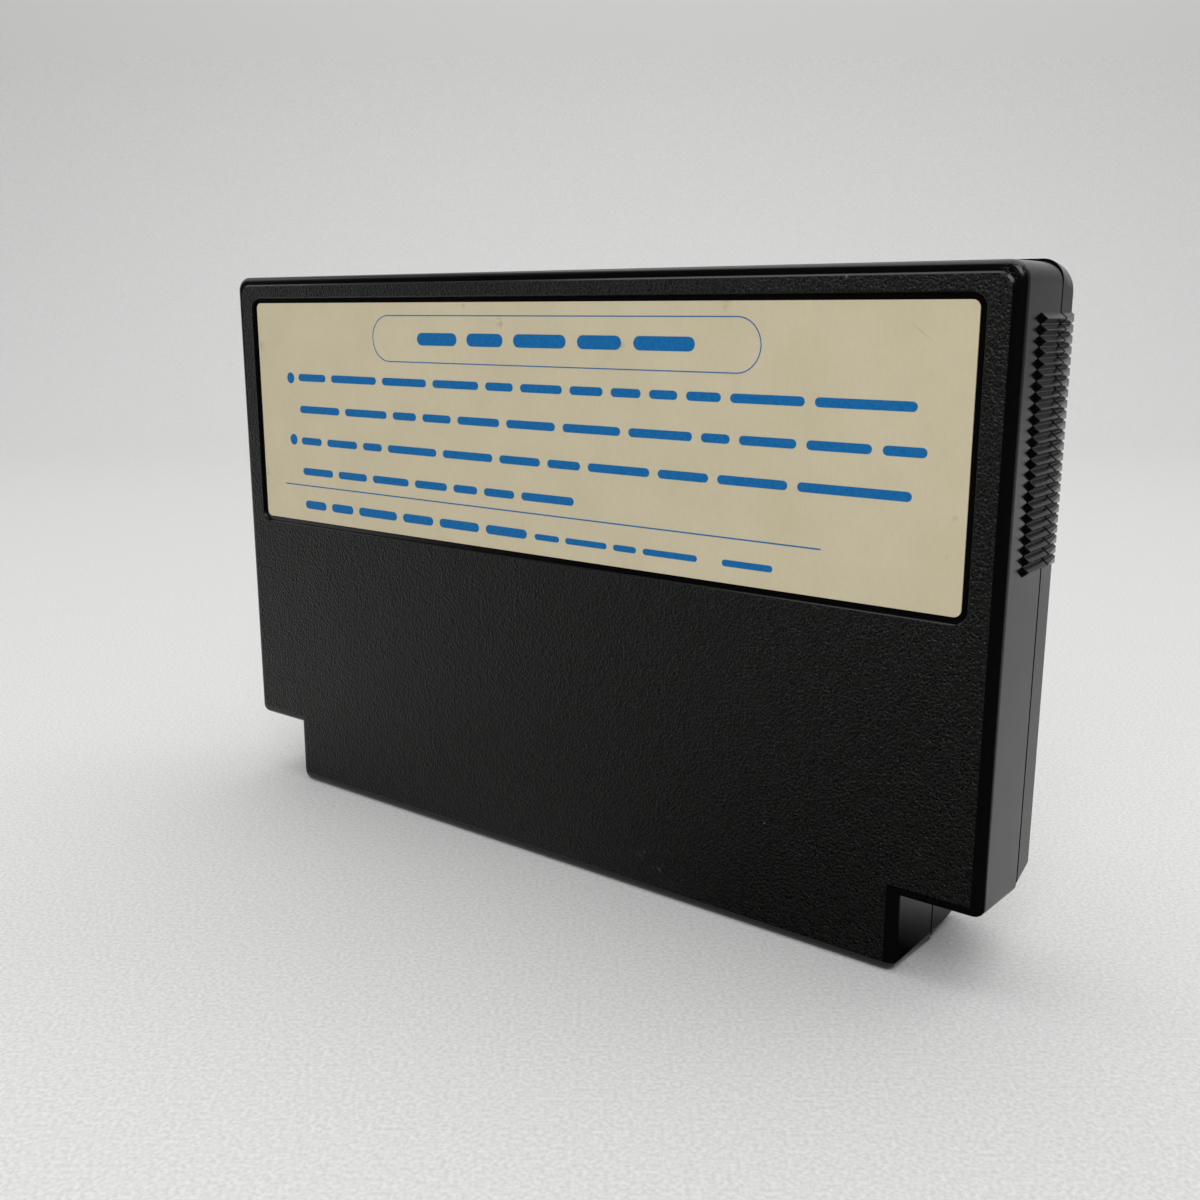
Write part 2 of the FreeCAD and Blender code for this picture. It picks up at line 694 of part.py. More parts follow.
def ceramic_body(x, z):
    """Dipped block with its four upright edges cut back."""
    near_y = BOARD_REAR_Y - CERAMIC_STANDOFF
    half_x = CERAMIC_WIDTH / 2
    half_z = CERAMIC_THICKNESS / 2
    body = block(x - half_x, x + half_x, near_y - CERAMIC_HEIGHT, near_y, z - half_z, z + half_z)
    upright = [e for e in body.Edges if abs(e.Length - CERAMIC_HEIGHT) < 1e-6]
    return body.makeChamfer(min(CERAMIC_CHAMFER, 0.4 * CERAMIC_THICKNESS), upright)


def make_ceramics():
    near_y = BOARD_REAR_Y - CERAMIC_STANDOFF
    far_y = BOARD_FRONT_Y + LEAD_TIP_LENGTH
    bodies = [ceramic_body(x, z) for x, z in ceramic_places()]
    leads = [wire_along_y(WIRE_RADIUS, near_y, far_y, x, z) for x, z in ceramic_lead_places()]
    return {
        "ceramic_capacitors": Part.makeCompound(bodies),
        "ceramic_capacitor_leads": Part.makeCompound(leads),
    }


# Circuit board and contacts

def tongue_bevel(face_y, inwards):
    """Wedge that bevels the tongue's lower edge on one face of the board."""
    low_z = TONGUE_BOTTOM_Z
    points = [
        V(-TONGUE_WIDTH / 2, face_y, low_z),
        V(-TONGUE_WIDTH / 2, face_y + inwards * TONGUE_BEVEL, low_z),
        V(-TONGUE_WIDTH / 2, face_y, low_z + TONGUE_BEVEL),
    ]
    return Part.Face(Part.makePolygon(points + points[:1])).extrude(V(TONGUE_WIDTH, 0, 0))


def make_board():
    side = BOARD_WIDTH / 2
    tongue = TONGUE_WIDTH / 2
    corner = BOARD_CORNER_RADIUS
    right = [
        (tongue, TONGUE_BOTTOM_Z, corner),
        (tongue, BOARD_SHOULDER_Z, corner),
        (side, BOARD_SHOULDER_Z, corner),
        (side, BOARD_TOP_Z, corner),
    ]
    left = [(-x, z, radius) for x, z, radius in reversed(right)]
    board = prism(rounded_wire(right + left, BOARD_REAR_Y), BOARD_THICKNESS)
    holes = [tongue_bevel(BOARD_REAR_Y, 1), tongue_bevel(BOARD_FRONT_Y, -1)]
    half_x = LEAD_THICKNESS / 2 + LEAD_HOLE_GAP
    half_z = LEAD_WIDTH / 2 + LEAD_HOLE_GAP
    for chip, x, z in CHIPS.values():
        for side, lead_x, lead_z in lead_places(chip, x, z):
            holes.append(block(
                lead_x - half_x, lead_x + half_x, BOARD_REAR_Y - BEYOND, BOARD_FRONT_Y + BEYOND,
                lead_z - half_z, lead_z + half_z))
    wires = [(CAN_END_X + CAN_LEAD_RUN, z) for z in can_lead_heights()] + ceramic_lead_places()
    for x, z in wires:
        holes.append(wire_along_y(
            WIRE_RADIUS + LEAD_HOLE_GAP, BOARD_REAR_Y - BEYOND, BOARD_FRONT_Y + BEYOND, x, z))
    for x, z in POST_PLACES:
        holes.append(along_y(POST_HOLE_RADIUS, BOARD_REAR_Y - BEYOND, BOARD_FRONT_Y + BEYOND, x, z))
    return board.cut(holes)


def edge_contacts(y0, y1):
    """Row of plated fingers between two depths."""
    low_z = TONGUE_BOTTOM_Z + CONTACT_INSET
    half = CONTACT_WIDTH / 2
    fingers = []
    for i in range(CONTACT_COUNT):
        x = (i - (CONTACT_COUNT - 1) / 2) * CONTACT_PITCH
        fingers.append(block(x - half, x + half, y0, y1, low_z, low_z + CONTACT_LENGTH))
    return Part.makeCompound(fingers)


# Assembly

def make_nodes():
    nodes = {
        "rear_shell": make_rear_shell(),
        "front_shell": make_front_shell(),
        "rear_label": make_rear_label(),
        "circuit_board": make_board(),
        "rear_edge_contacts": edge_contacts(BOARD_REAR_Y - CONTACT_THICKNESS, BOARD_REAR_Y),
        "front_edge_contacts": edge_contacts(BOARD_FRONT_Y, BOARD_FRONT_Y + CONTACT_THICKNESS),
    }
    for name, (chip, x, z) in CHIPS.items():
        nodes[name] = chip_body(chip, x, z)
        nodes[name + "_leads"] = chip_leads(chip, x, z)
    nodes.update(make_capacitor())
    nodes.update(make_ceramics())
    return nodes


os.makedirs("parts", exist_ok=True)
for node, shape in make_nodes().items():
    print(node, "solids", len(shape.Solids), "valid", shape.isValid(), "volume", round(shape.Volume, 2))
    shape.exportStep("parts/" + node + ".step")
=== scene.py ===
"""Looks of a game cartridge that stands on its neck, seen from its stickered rear face.

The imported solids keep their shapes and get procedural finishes. The print on the sticker is added as thin
pieces: plain bars, dots and lines. Sizes are in metres unless a heading says otherwise, and MM turns
millimetres into metres. The scale of a texture is in features per metre.
"""
import json
import math
import random

import bmesh
import bpy
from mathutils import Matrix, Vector


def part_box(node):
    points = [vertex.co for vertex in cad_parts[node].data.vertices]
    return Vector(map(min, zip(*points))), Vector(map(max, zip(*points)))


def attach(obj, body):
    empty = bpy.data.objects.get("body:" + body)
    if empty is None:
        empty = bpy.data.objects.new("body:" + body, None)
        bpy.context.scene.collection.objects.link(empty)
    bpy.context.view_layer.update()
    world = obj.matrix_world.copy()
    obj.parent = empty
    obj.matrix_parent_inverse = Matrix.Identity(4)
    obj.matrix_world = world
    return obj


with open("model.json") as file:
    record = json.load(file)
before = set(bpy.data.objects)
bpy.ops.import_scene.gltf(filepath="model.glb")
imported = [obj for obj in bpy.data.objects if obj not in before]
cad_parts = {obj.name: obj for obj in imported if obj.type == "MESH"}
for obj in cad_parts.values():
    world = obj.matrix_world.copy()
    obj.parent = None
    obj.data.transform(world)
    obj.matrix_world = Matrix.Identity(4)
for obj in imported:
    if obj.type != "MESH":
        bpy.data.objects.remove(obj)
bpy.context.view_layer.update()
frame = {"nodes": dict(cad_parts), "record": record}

MM = 0.001

# Camera, from the straight edges of the case in the photograph
CAMERA_PLACE = Vector((94.55, -120.05, 65.82)) * MM
CAMERA_TURN = math.radians(37.70)
CAMERA_DROP = math.radians(12.76)
CAMERA_LENS = 38.27  # in millimetres, as is the sensor
CAMERA_SENSOR = 36.0
CAMERA_CLIP = 0.005

# Stage: a floor that bends up into a backdrop, square to the camera
FLOOR_FRONT = -1.2
FLOOR_BACK = 0.46
BEND_RADIUS = 0.22
BEND_STEPS = 24
BACKDROP_TOP = 1.3
STAGE_HALF_WIDTH = 1.6
STAGE_COLOUR = (0.84, 0.84, 0.825)
STAGE_SHADE = (0.69, 0.69, 0.675)
STAGE_WEAVE_SCALE = 2400.0

# Dark room in front of the stage, which only reflections meet, along the stage's own axes
SHADE_BACK = 0.08  # the sheet runs from here to its end near the camera
SHADE_END = -0.8
SHADE_LEFT = -0.5
SHADE_HEIGHT = 0.9
SHADE_LIFT = 0.001  # over the floor
SHADE_START = -0.008  # the dark starts in front of this line
SHADE_SOFT = 0.016  # width of the change from pale to dark
SHADE_TURN = 0.02  # right of here the dark starts further forward
SHADE_SLANT = 0.55  # how far forward for each metre to the right
SHADE_FOOT = 0.02  # above this height the sheet is dark all over
SHADE_COLOUR = (0.005, 0.005, 0.005)
SHADE_LIGHT = (0.765, 0.765, 0.75)

# Light, with the power of the panels in watts
WORLD_COLOUR = (0.95, 0.98, 1.0)
WORLD_STRENGTH = 0.32
PANELS = (
    dict(name="overhead_panel", place=(-0.07, 0.14, 0.8), aim=(0, 0, 0), size=(1.0, 1.0), power=4.3),
    dict(name="front_panel", place=(0.3, -0.45, 0.5), aim=(0, 0, 0.03), size=(0.4, 0.4), power=1.85),
    dict(name="left_panel", place=(-1.0, -0.15, 0.65), aim=(0, 0, 0.05), size=(0.45, 0.4), power=0.4),
    dict(name="right_panel", place=(0.5, 0.6, 0.75), aim=(0, 0, 0.02), size=(0.4, 0.4), power=0.6),
)

# Places on the cartridge that the finishes depend on
REAR_FACE_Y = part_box("rear_shell")[0].y
FRONT_SHELL_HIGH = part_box("front_shell")[1]
FRONT_FACE_Y = FRONT_SHELL_HIGH.y
RIGHT_GRIP_X = FRONT_SHELL_HIGH.x
LABEL_FACE_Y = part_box("rear_label")[0].y

# Case: grained fields on the rear and front faces, and smooth elsewhere
FIELD_DEPTH = 0.1 * MM  # less than the step round the rear field
FRONT_FIELD_DEPTH = 0.4 * MM  # more than the depth of the bare recess
FIELD_FACING = 0.95  # walls and bevels, whose normals have less of Y, are left out
EDGE_SOFTNESS = 0.12 * MM  # rounding of the moulding's sharp edges
CASE_EDGE = (0.003, 0.003, 0.003)
# partly painted light: the field's own dark grey, lifted with painted sheen for the light its grain catches
CASE_FIELD_TONE_AND_SHEEN = (0.0105, 0.0104, 0.0095)
# painted shade: colour of the grain's pits, darkened as if shade fell in them
PIT_PAINTED_SHADE = (0.001, 0.001, 0.001)
EDGE_ROUGHNESS = 0.18
FIELD_ROUGHNESS = 0.32
EDGE_GLOSS = 0.42
FIELD_GLOSS = 0.33
PIT_SCALE = 3300.0
# painted shade: the pit colour darkens each pit between these two distances
PIT_SHADE_CORE = 0.27  # a pit is darkest this near to its middle, as a share of the pits' spacing
PIT_SHADE_EDGE = 0.42  # and ends here
RIPPLE_SCALE = 6000.0
RIPPLE_HEIGHT = 0.6  # heights are shares of the grain's depth
WAVE_SCALE = 260.0
WAVE_HEIGHT = 0.012
WAVE_ROUGHNESS = (-0.02, 0.03)  # what the wave adds to the roughness
GRAIN_DEPTH = 0.16 * MM

# Wear on the case, in millimetres: x from the middle of the cartridge, z from the rim of its neck
WEAR_COLOUR = (0.3, 0.3, 0.29)
RUBS = (
    dict(x=16.5, z=3.8, radii=(5.0, 2.0, 3.4)),
    dict(x=48.0, z=14.5, radii=(1.6, 2.0, 1.4)),
)
RUB_STRENGTH = 0.22
RUB_THREAD_SIZES = (1.4, 1.4, 0.4)
RUB_THREAD_TURN = 0.7  # in radians, about Y
CHIPPED_CORNER = dict(x=53.4, z=69.5, radii=(1.5, 1.0, 1.2))
CHIPPED_DEPTH = 0.4  # from the rear face to the middle of the chips
CHIP_SCALE = 7000.0
CHIP_STRENGTH = 0.6
DUST = (
    dict(x=37.5, z=69.0, radii=[0.22] * 3),
    dict(x=32.6, z=67.2, radii=[0.18] * 3),
    dict(x=-21.0, z=31.5, radii=[0.15] * 3),
    dict(x=30.5, z=12.6, radii=[0.15] * 3),
)
DUST_STRENGTH = 0.5
SMEAR_PLACE = Vector((RIGHT_GRIP_X, -6.6 * MM, 45.3 * MM))
SMEAR_RADII = (1.5, 1.3, 1.3)
SMEAR_GLOSS = 0.55  # share of the gloss that is left in the middle of the smear

# Sticker, with specks and the scratch in the millimetres of the wear above
PAPER_COLOUR = (0.72, 0.635, 0.445)
PAPER_SHADE = (0.66, 0.575, 0.39)
MOTTLE_SCALE = 160.0
MOTTLE_SHARE = 0.6  # of the paper's tone, and the fibres have the rest
FIBRE_SIZES = (0.2, 1.0, 0.8)
FIBRE_DEPTH = 0.03 * MM
STAIN_COLOUR = (0.36, 0.2, 0.08)
STAIN_SCALE = 1800.0
STAINS = (
    dict(x=-6.4, z=64.6, radius=0.8, strength=0.7),
    dict(x=-50.0, z=61.2, radius=0.9, strength=0.5),
    dict(x=-50.4, z=44.1, radius=0.8, strength=0.5),
    dict(x=24.1, z=66.5, radius=0.9, strength=0.35),
    dict(x=11.1, z=62.2, radius=0.6, strength=0.5),
    dict(x=49.4, z=47.2, radius=0.35, strength=0.5),
    dict(x=48.8, z=43.5, radius=0.3, strength=0.5),
    dict(x=-12.2, z=66.4, radius=0.5, strength=0.5),
)
SCRATCH = dict(x=45.2, z=64.0, radii=(1.7, 1.0, 0.1), turn=math.radians(37))
SCRATCH_STRENGTH = 0.35
INK_COLOUR = (0.003, 0.14, 0.4)
INK_LIGHT = (0.012, 0.17, 0.45)
INK_SCALE = 2400.0
INK_THICKNESS = 0.02 * MM
INK_SUNK = 0.01 * MM

# Print on the sticker, in the same millimetres
PRINT_SEED = 4
BAR_END_STEPS = 6
TITLE_Z = 62.5
TITLE_FRAME_LEFT = -27.9
TITLE_FRAME_RIGHT = 28.4
TITLE_FRAME_HEIGHT = 5.7
TITLE_FRAME_LINE = 0.11
TITLE_FRAME_END_STEPS = 16
TITLE_ENDS = (-20.0, 20.5)
TITLE_BARS = dict(height=1.5, shortest=5.0, longest=12.0, gap=1.6)
DOT_X = -44.2
DOT_HEIGHTS = (57.1, 48.9)
DOT_DIAMETER = 1.45
DOT_STEPS = 20
TEXT_LEFT = -42.6
TEXT_ROWS = ((57.2, 45.2), (53.0, 46.4), (48.8, 45.1), (44.7, 4.4))  # z and right end of each row
TEXT_BARS = dict(height=0.95, shortest=3.0, longest=9.0, gap=1.1)
RULE_ENDS = (-46.4, 35.8)
RULE_Z = 42.78
RULE_HEIGHT = 0.14
FOOT_ENDS = (-42.4, -2.7)
FOOT_Z = 40.2
FOOT_BARS = dict(height=1.1, shortest=4.0, longest=9.0, gap=1.1)
SMALL_FOOT_ENDS = ((-1.5, 21.2), (24.3, 30.4))
SMALL_FOOT_Z = 40.1
SMALL_FOOT_BARS = dict(height=0.7, shortest=2.5, longest=6.0, gap=0.9)

# Board, metals and mouldings inside the case
CONTACT_PITCH = 2.54 * MM
TRACK_EDGE = (0.26, 0.3)  # where a track starts, as a share of the pitch from the middle between two tracks
COATED_FACING = 0.7  # the board's edges, whose normals have less of Y, are bare
COAT_COLOUR = (0.018, 0.1, 0.04)
TRACK_COLOUR = (0.035, 0.16, 0.06)
BARE_COLOUR = (0.3, 0.22, 0.1)
BARE_LIGHT = (0.42, 0.32, 0.16)
LAMINATE_SCALE = 1500.0
TRACK_RELIEF = 0.03 * MM
STREAK_DULLING = 0.2  # what a metal's streaks add to its roughness at most
STREAK_DEPTH = 0.02 * MM
SPECKLE_DULLING = 0.12  # what a moulding's speckle adds to its roughness at most
SPECKLE_DEPTH = 0.04 * MM

# Most values of a noise texture lie between these
NOISE_LOW = 0.3
NOISE_HIGH = 0.7


class Tree:
    """The node tree of a material, with short calls that add a node and return its output."""

    # Colour sockets of a mix node, which share their names with its other sockets
    MIX_FIRST = 6
    MIX_SECOND = 7
    MIX_RESULT = 2

    def __init__(self, name):
        self.material = bpy.data.materials.new(name)
        self.material.use_nodes = True
        self.nodes = self.material.node_tree.nodes
        self.links = self.material.node_tree.links
        self.shader = self.nodes["Principled BSDF"]

    def add(self, kind, **settings):
        node = self.nodes.new(kind)
        for name, value in settings.items():
            setattr(node, name, value)
        return node

    def feed(self, socket, value):
        """Links an output to a socket, or sets a plain value on it."""
        if isinstance(value, bpy.types.NodeSocket):
            self.links.new(value, socket)
        elif socket.type == "RGBA":
            socket.default_value = (*value, 1.0)
        else:
            socket.default_value = value

    def set(self, **sockets):
        """Feeds the shader's sockets, named with underscores for spaces."""
        for name, value in sockets.items():
            self.feed(self.shader.inputs[name.replace("_", " ")], value)

    def coordinates(self):
        return self.add("ShaderNodeTexCoord").outputs["Object"]

    def normal(self):
        """The way that a face looks, the same all over it."""
        return self.add("ShaderNodeNewGeometry").outputs["True Normal"]

    def axes(self, vector):
        node = self.add("ShaderNodeSeparateXYZ")
        self.feed(node.inputs[0], vector)
        return node.outputs

    def math(self, operation, *values):
        node = self.add("ShaderNodeMath", operation=operation)
        for socket, value in zip(node.inputs, values):
            self.feed(socket, value)
        return node.outputs[0]

    def spread(self, value, low, high, to_low=0.0, to_high=1.0):
        """Maps low to high on to a new range, with clamped ends."""
        node = self.add("ShaderNodeMapRange")
        names = ("Value", "From Min", "From Max", "To Min", "To Max")
        for name, each in zip(names, (value, low, high, to_low, to_high)):
            self.feed(node.inputs[name], each)
        return node.outputs[0]

    def stretched(self, vector, sizes, place=(0, 0, 0), turn=(0, 0, 0)):
        """Coordinates from a place, along turned axes, in units of the three sizes."""
        node = self.add("ShaderNodeMapping", vector_type="TEXTURE")
        for name, value in (("Vector", vector), ("Location", place), ("Rotation", turn), ("Scale", sizes)):
            self.feed(node.inputs[name], value)
        return node.outputs[0]

    def noise(self, vector, scale, detail):
        node = self.add("ShaderNodeTexNoise")
        for name, value in (("Vector", vector), ("Scale", scale), ("Detail", detail)):
            self.feed(node.inputs[name], value)
        return node.outputs["Fac"]

    def cells(self, vector, scale):
        """The distance to the nearest of many scattered points, in units of their spacing."""
        node = self.add("ShaderNodeTexVoronoi", feature="F1")
        self.feed(node.inputs["Vector"], vector)
        self.feed(node.inputs["Scale"], scale)
        return node.outputs["Distance"]

    def blot(self, vector, place, radii, turn=(0, 0, 0)):
        """A soft spot: 1 at its middle and 0 at the given radii."""
        length = self.add("ShaderNodeVectorMath", operation="LENGTH")
        self.feed(length.inputs[0], self.stretched(vector, radii, place, turn))
        return self.spread(length.outputs["Value"], 1.0, 0.0)

    def mix(self, factor, first, second):
        node = self.add("ShaderNodeMix", data_type="RGBA")
        self.feed(node.inputs["Factor"], factor)
        self.feed(node.inputs[self.MIX_FIRST], first)
        self.feed(node.inputs[self.MIX_SECOND], second)
        return node.outputs[self.MIX_RESULT]

    def rounded(self, radius):
        """The surface's normal, turned smoothly over each sharp edge."""
        node = self.add("ShaderNodeBevel", samples=4)
        self.feed(node.inputs["Radius"], radius)
        return node.outputs["Normal"]

    def bump(self, height, strength, distance, normal=None):
        node = self.add("ShaderNodeBump")
        for name, value in (("Height", height), ("Strength", strength), ("Distance", distance)):
            self.feed(node.inputs[name], value)
        if normal is not None:
            self.feed(node.inputs["Normal"], normal)
        return node.outputs["Normal"]


def millimetres(sizes):
    return Vector(sizes) * MM


def spot_on_face(tree, where, y, x, z, radii, turn=0.0):
    """A soft spot on an upright face at depth y, with its place and radii in millimetres."""
    place = (x * MM, y, z * MM)
    return tree.blot(where, place, millimetres(radii), (0, turn, 0))


# Finishes of the outside

def case_plastic():
    """Black moulded plastic, grained on the rear and front faces with painted shade in its pits and painted
    sheen in its tone, smooth and glossier elsewhere.
    """
    tree = Tree("case_plastic")
    where = tree.coordinates()
    field = case_field(tree, where)
    pits = tree.cells(where, PIT_SCALE)
    ripples = tree.noise(where, RIPPLE_SCALE, detail=1.0)
    grain = tree.math("MULTIPLY_ADD", ripples, RIPPLE_HEIGHT, pits)
    wave = tree.noise(where, WAVE_SCALE, detail=2.0)
    height = tree.math("ADD", tree.math("MULTIPLY", grain, field), tree.math("MULTIPLY", wave, WAVE_HEIGHT))
    # painted shade: the grain's pits are coloured darker, as if shade fell in them; the same pits also
    # shape the bump
    field_tone_sheen_and_pit_shade = tree.mix(tree.spread(pits, PIT_SHADE_CORE, PIT_SHADE_EDGE), PIT_PAINTED_SHADE, CASE_FIELD_TONE_AND_SHEEN)
    unworn = tree.mix(field, CASE_EDGE, field_tone_sheen_and_pit_shade)
    roughness = tree.spread(field, 0.0, 1.0, EDGE_ROUGHNESS, FIELD_ROUGHNESS)
    gloss = tree.spread(field, 0.0, 1.0, EDGE_GLOSS, FIELD_GLOSS)
    tree.set(
        Base_Color=tree.mix(case_wear(tree, where), unworn, WEAR_COLOUR),
        Roughness=tree.math("ADD", roughness, tree.spread(wave, NOISE_LOW, NOISE_HIGH, *WAVE_ROUGHNESS)),
        Specular_IOR_Level=tree.math("MULTIPLY", gloss, side_smear(tree, where)),
        Normal=tree.bump(height, strength=1.0, distance=GRAIN_DEPTH, normal=tree.rounded(EDGE_SOFTNESS)),
    )
    return tree.material


def case_field(tree, where):
    """1 on the grained fields of the rear and front faces, and 0 elsewhere."""
    y = tree.axes(where)["Y"]
    rear = tree.math("LESS_THAN", y, REAR_FACE_Y + FIELD_DEPTH)
    front = tree.math("GREATER_THAN", y, FRONT_FACE_Y - FRONT_FIELD_DEPTH)
    facing = tree.math("ABSOLUTE", tree.axes(tree.normal())["Y"])
    flat = tree.math("GREATER_THAN", facing, FIELD_FACING)
    return tree.math("MULTIPLY", tree.math("MAXIMUM", rear, front), flat)


def case_wear(tree, where):
    """Faint whitish rubs low on the rear face, a chipped upper corner and specks of dust."""
    streaks = tree.stretched(where, millimetres(RUB_THREAD_SIZES), turn=(0, RUB_THREAD_TURN, 0))
    threads = tree.spread(tree.noise(streaks, scale=1.0, detail=3.0), low=0.6, high=0.72)
    rubs = tree.math("ADD", *(spot_on_face(tree, where, REAR_FACE_Y, **rub) for rub in RUBS))
    corner = spot_on_face(tree, where, REAR_FACE_Y + CHIPPED_DEPTH * MM, **CHIPPED_CORNER)
    flecks = tree.noise(where, CHIP_SCALE, detail=2.0)
    chips = tree.spread(flecks, low=0.58, high=0.7, to_high=CHIP_STRENGTH)
    total = tree.math("MULTIPLY_ADD", threads, tree.math("MULTIPLY", rubs, RUB_STRENGTH),
                      tree.math("MULTIPLY", corner, chips))
    for speck in DUST:
        spot = spot_on_face(tree, where, REAR_FACE_Y, **speck)
        total = tree.math("MULTIPLY_ADD", spot, DUST_STRENGTH, total)
    return total


def side_smear(tree, where):
    """Share of the gloss that a dull smear beside the right grip leaves."""
    smear = tree.blot(where, SMEAR_PLACE, millimetres(SMEAR_RADII))
    return tree.spread(smear, 0.0, 1.0, 1.0, SMEAR_GLOSS)


def label_paper():
    """Cream paper, a little yellowed, with fine fibres, mottling and a few brown specks."""
    tree = Tree("label_paper")
    where = tree.coordinates()
    mottle = tree.noise(where, MOTTLE_SCALE, detail=4.0)
    fibres = tree.noise(tree.stretched(where, millimetres(FIBRE_SIZES)), scale=1.0, detail=2.0)
    tone = tree.math("ADD", tree.math("MULTIPLY", mottle, MOTTLE_SHARE),
                     tree.math("MULTIPLY", fibres, 1 - MOTTLE_SHARE))
    paper = tree.mix(tree.spread(tone, NOISE_LOW, NOISE_HIGH), PAPER_COLOUR, PAPER_SHADE)
    tree.set(
        Base_Color=tree.mix(label_stains(tree, where), paper, STAIN_COLOUR),
        Roughness=0.55,
        Specular_IOR_Level=0.35,
        Normal=tree.bump(fibres, strength=0.12, distance=FIBRE_DEPTH),
    )
    return tree.material


def label_stains(tree, where):
    """Ragged brown specks at their places on the sticker, and one faint scratch."""
    ragged = tree.spread(tree.noise(where, STAIN_SCALE, detail=3.0), low=0.35, high=0.6)
    total = 0.0
    for stain in STAINS:
        spot = spot_on_face(tree, where, LABEL_FACE_Y, stain["x"], stain["z"], [stain["radius"]] * 3)
        total = tree.math("MULTIPLY_ADD", spot, stain["strength"], total)
    scratch = spot_on_face(tree, where, LABEL_FACE_Y, **SCRATCH)
    return tree.math("MULTIPLY_ADD", total, ragged, tree.math("MULTIPLY", scratch, SCRATCH_STRENGTH))


def label_ink():
    """Flat blue print with a slightly uneven coat."""
    tree = Tree("label_ink")
    uneven = tree.noise(tree.coordinates(), INK_SCALE, detail=3.0)
    tree.set(
        Base_Color=tree.mix(tree.spread(uneven, low=0.35, high=0.65), INK_COLOUR, INK_LIGHT),
        Roughness=0.5,
        Specular_IOR_Level=0.15,
        Normal=tree.bump(uneven, strength=0.1, distance=INK_THICKNESS),
    )
    return tree.material


# Finishes of the inside

def board_laminate():
    """Green coated board with lighter tracks at the pitch of its contacts, and bare brown edges."""
    tree = Tree("board_laminate")
    where = tree.coordinates()
    facing = tree.math("ABSOLUTE", tree.axes(tree.normal())["Y"])
    coated = tree.math("GREATER_THAN", facing, COATED_FACING)
    weave = tree.noise(where, LAMINATE_SCALE, detail=3.0)
    along = tree.math("FRACT", tree.math("DIVIDE", tree.axes(where)["X"], CONTACT_PITCH))
    track = tree.spread(tree.math("ABSOLUTE", tree.math("SUBTRACT", along, 0.5)), *TRACK_EDGE)
    coat = tree.mix(track, COAT_COLOUR, TRACK_COLOUR)
    bare = tree.mix(weave, BARE_COLOUR, BARE_LIGHT)
    tree.set(
        Base_Color=tree.mix(coated, bare, coat),
        Roughness=0.35,
        Normal=tree.bump(tree.math("ADD", track, weave), strength=0.2, distance=TRACK_RELIEF),
    )
    return tree.material


def worn_metal(name, colour, dull, roughness, streaks):
    """Metal with streaks of a duller tone and uneven gloss."""
    tree = Tree(name)
    lines = tree.noise(tree.stretched(tree.coordinates(), millimetres(streaks)), scale=1.0, detail=3.0)
    tree.set(
        Base_Color=tree.mix(tree.spread(lines, low=0.4, high=0.65), colour, dull),
        Metallic=1.0,
        Roughness=tree.spread(lines, NOISE_LOW, NOISE_HIGH, roughness, roughness + STREAK_DULLING),
        Normal=tree.bump(lines, strength=0.15, distance=STREAK_DEPTH),
    )
    return tree.material


def moulded(name, colour, light, roughness, scale, strength):
    """Moulded or dipped material with a fine speckle in its colour and surface."""
    tree = Tree(name)
    speckle = tree.noise(tree.coordinates(), scale, detail=3.0)
    tree.set(
        Base_Color=tree.mix(tree.spread(speckle, low=0.35, high=0.7), colour, light),
        Roughness=tree.spread(speckle, NOISE_LOW, NOISE_HIGH, roughness, roughness + SPECKLE_DULLING),
        Normal=tree.bump(speckle, strength, SPECKLE_DEPTH),
    )
    return tree.material


def inner_metals():
    """The metals by slot, with the sizes of their streaks in millimetres."""
    return {
        "contact_gold": worn_metal(
            "contact_gold", colour=(0.85, 0.6, 0.2), dull=(0.6, 0.42, 0.16),
            roughness=0.22, streaks=(0.25, 0.25, 4.0)),
        "lead_metal": worn_metal(
            "lead_metal", colour=(0.7, 0.7, 0.71), dull=(0.5, 0.5, 0.5),
            roughness=0.3, streaks=(0.7, 0.7, 0.7)),
        "can_aluminium": worn_metal(
            "can_aluminium", colour=(0.78, 0.78, 0.79), dull=(0.6, 0.6, 0.62),
            roughness=0.25, streaks=(5.0, 0.3, 0.3)),
    }


def inner_mouldings():
    """The moulded and dipped materials by slot."""
    return {
        "chip_resin": moulded(
            "chip_resin", colour=(0.02, 0.02, 0.022), light=(0.04, 0.04, 0.042),
            roughness=0.5, scale=2500.0, strength=0.3),
        "sleeve_plastic": moulded(
            "sleeve_plastic", colour=(0.02, 0.045, 0.16), light=(0.03, 0.06, 0.2),
            roughness=0.25, scale=900.0, strength=0.1),
        "bung_rubber": moulded(
            "bung_rubber", colour=(0.02, 0.02, 0.02), light=(0.035, 0.035, 0.035),
            roughness=0.7, scale=2500.0, strength=0.25),
        "ceramic_coat": moulded(
            "ceramic_coat", colour=(0.45, 0.2, 0.05), light=(0.55, 0.28, 0.08),
            roughness=0.3, scale=1500.0, strength=0.2),
    }


def dress_nodes():
    """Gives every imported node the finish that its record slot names."""
    finishes = {
        "case_plastic": case_plastic(),
        "label_paper": label_paper(),
        "board_laminate": board_laminate(),
        **inner_metals(),
        **inner_mouldings(),
    }
    for row in frame["record"]["subparts"]:
        node = frame["nodes"][row["node"]]
        node.data.materials.clear()
        node.data.materials.append(finishes[row["material_slot"]])


# Print on the sticker

def outline_bar(left, right, z, height, steps=BAR_END_STEPS):
    """Points of a bar with rounded ends, in millimetres."""
    radius = height / 2
    points = []
    for centre, start in ((right - radius, -90), (left + radius, 90)):
        for step in range(steps + 1):
            angle = math.radians(start + 180 * step / steps)
            points.append((centre + radius * math.cos(angle), z + radius * math.sin(angle)))
    return points


def outline_dot(x, z):
    """Points of a dot, in millimetres."""
    radius = DOT_DIAMETER / 2
    angles = [2 * math.pi * step / DOT_STEPS for step in range(DOT_STEPS)]
    return [(x + radius * math.cos(angle), z + radius * math.sin(angle)) for angle in angles]


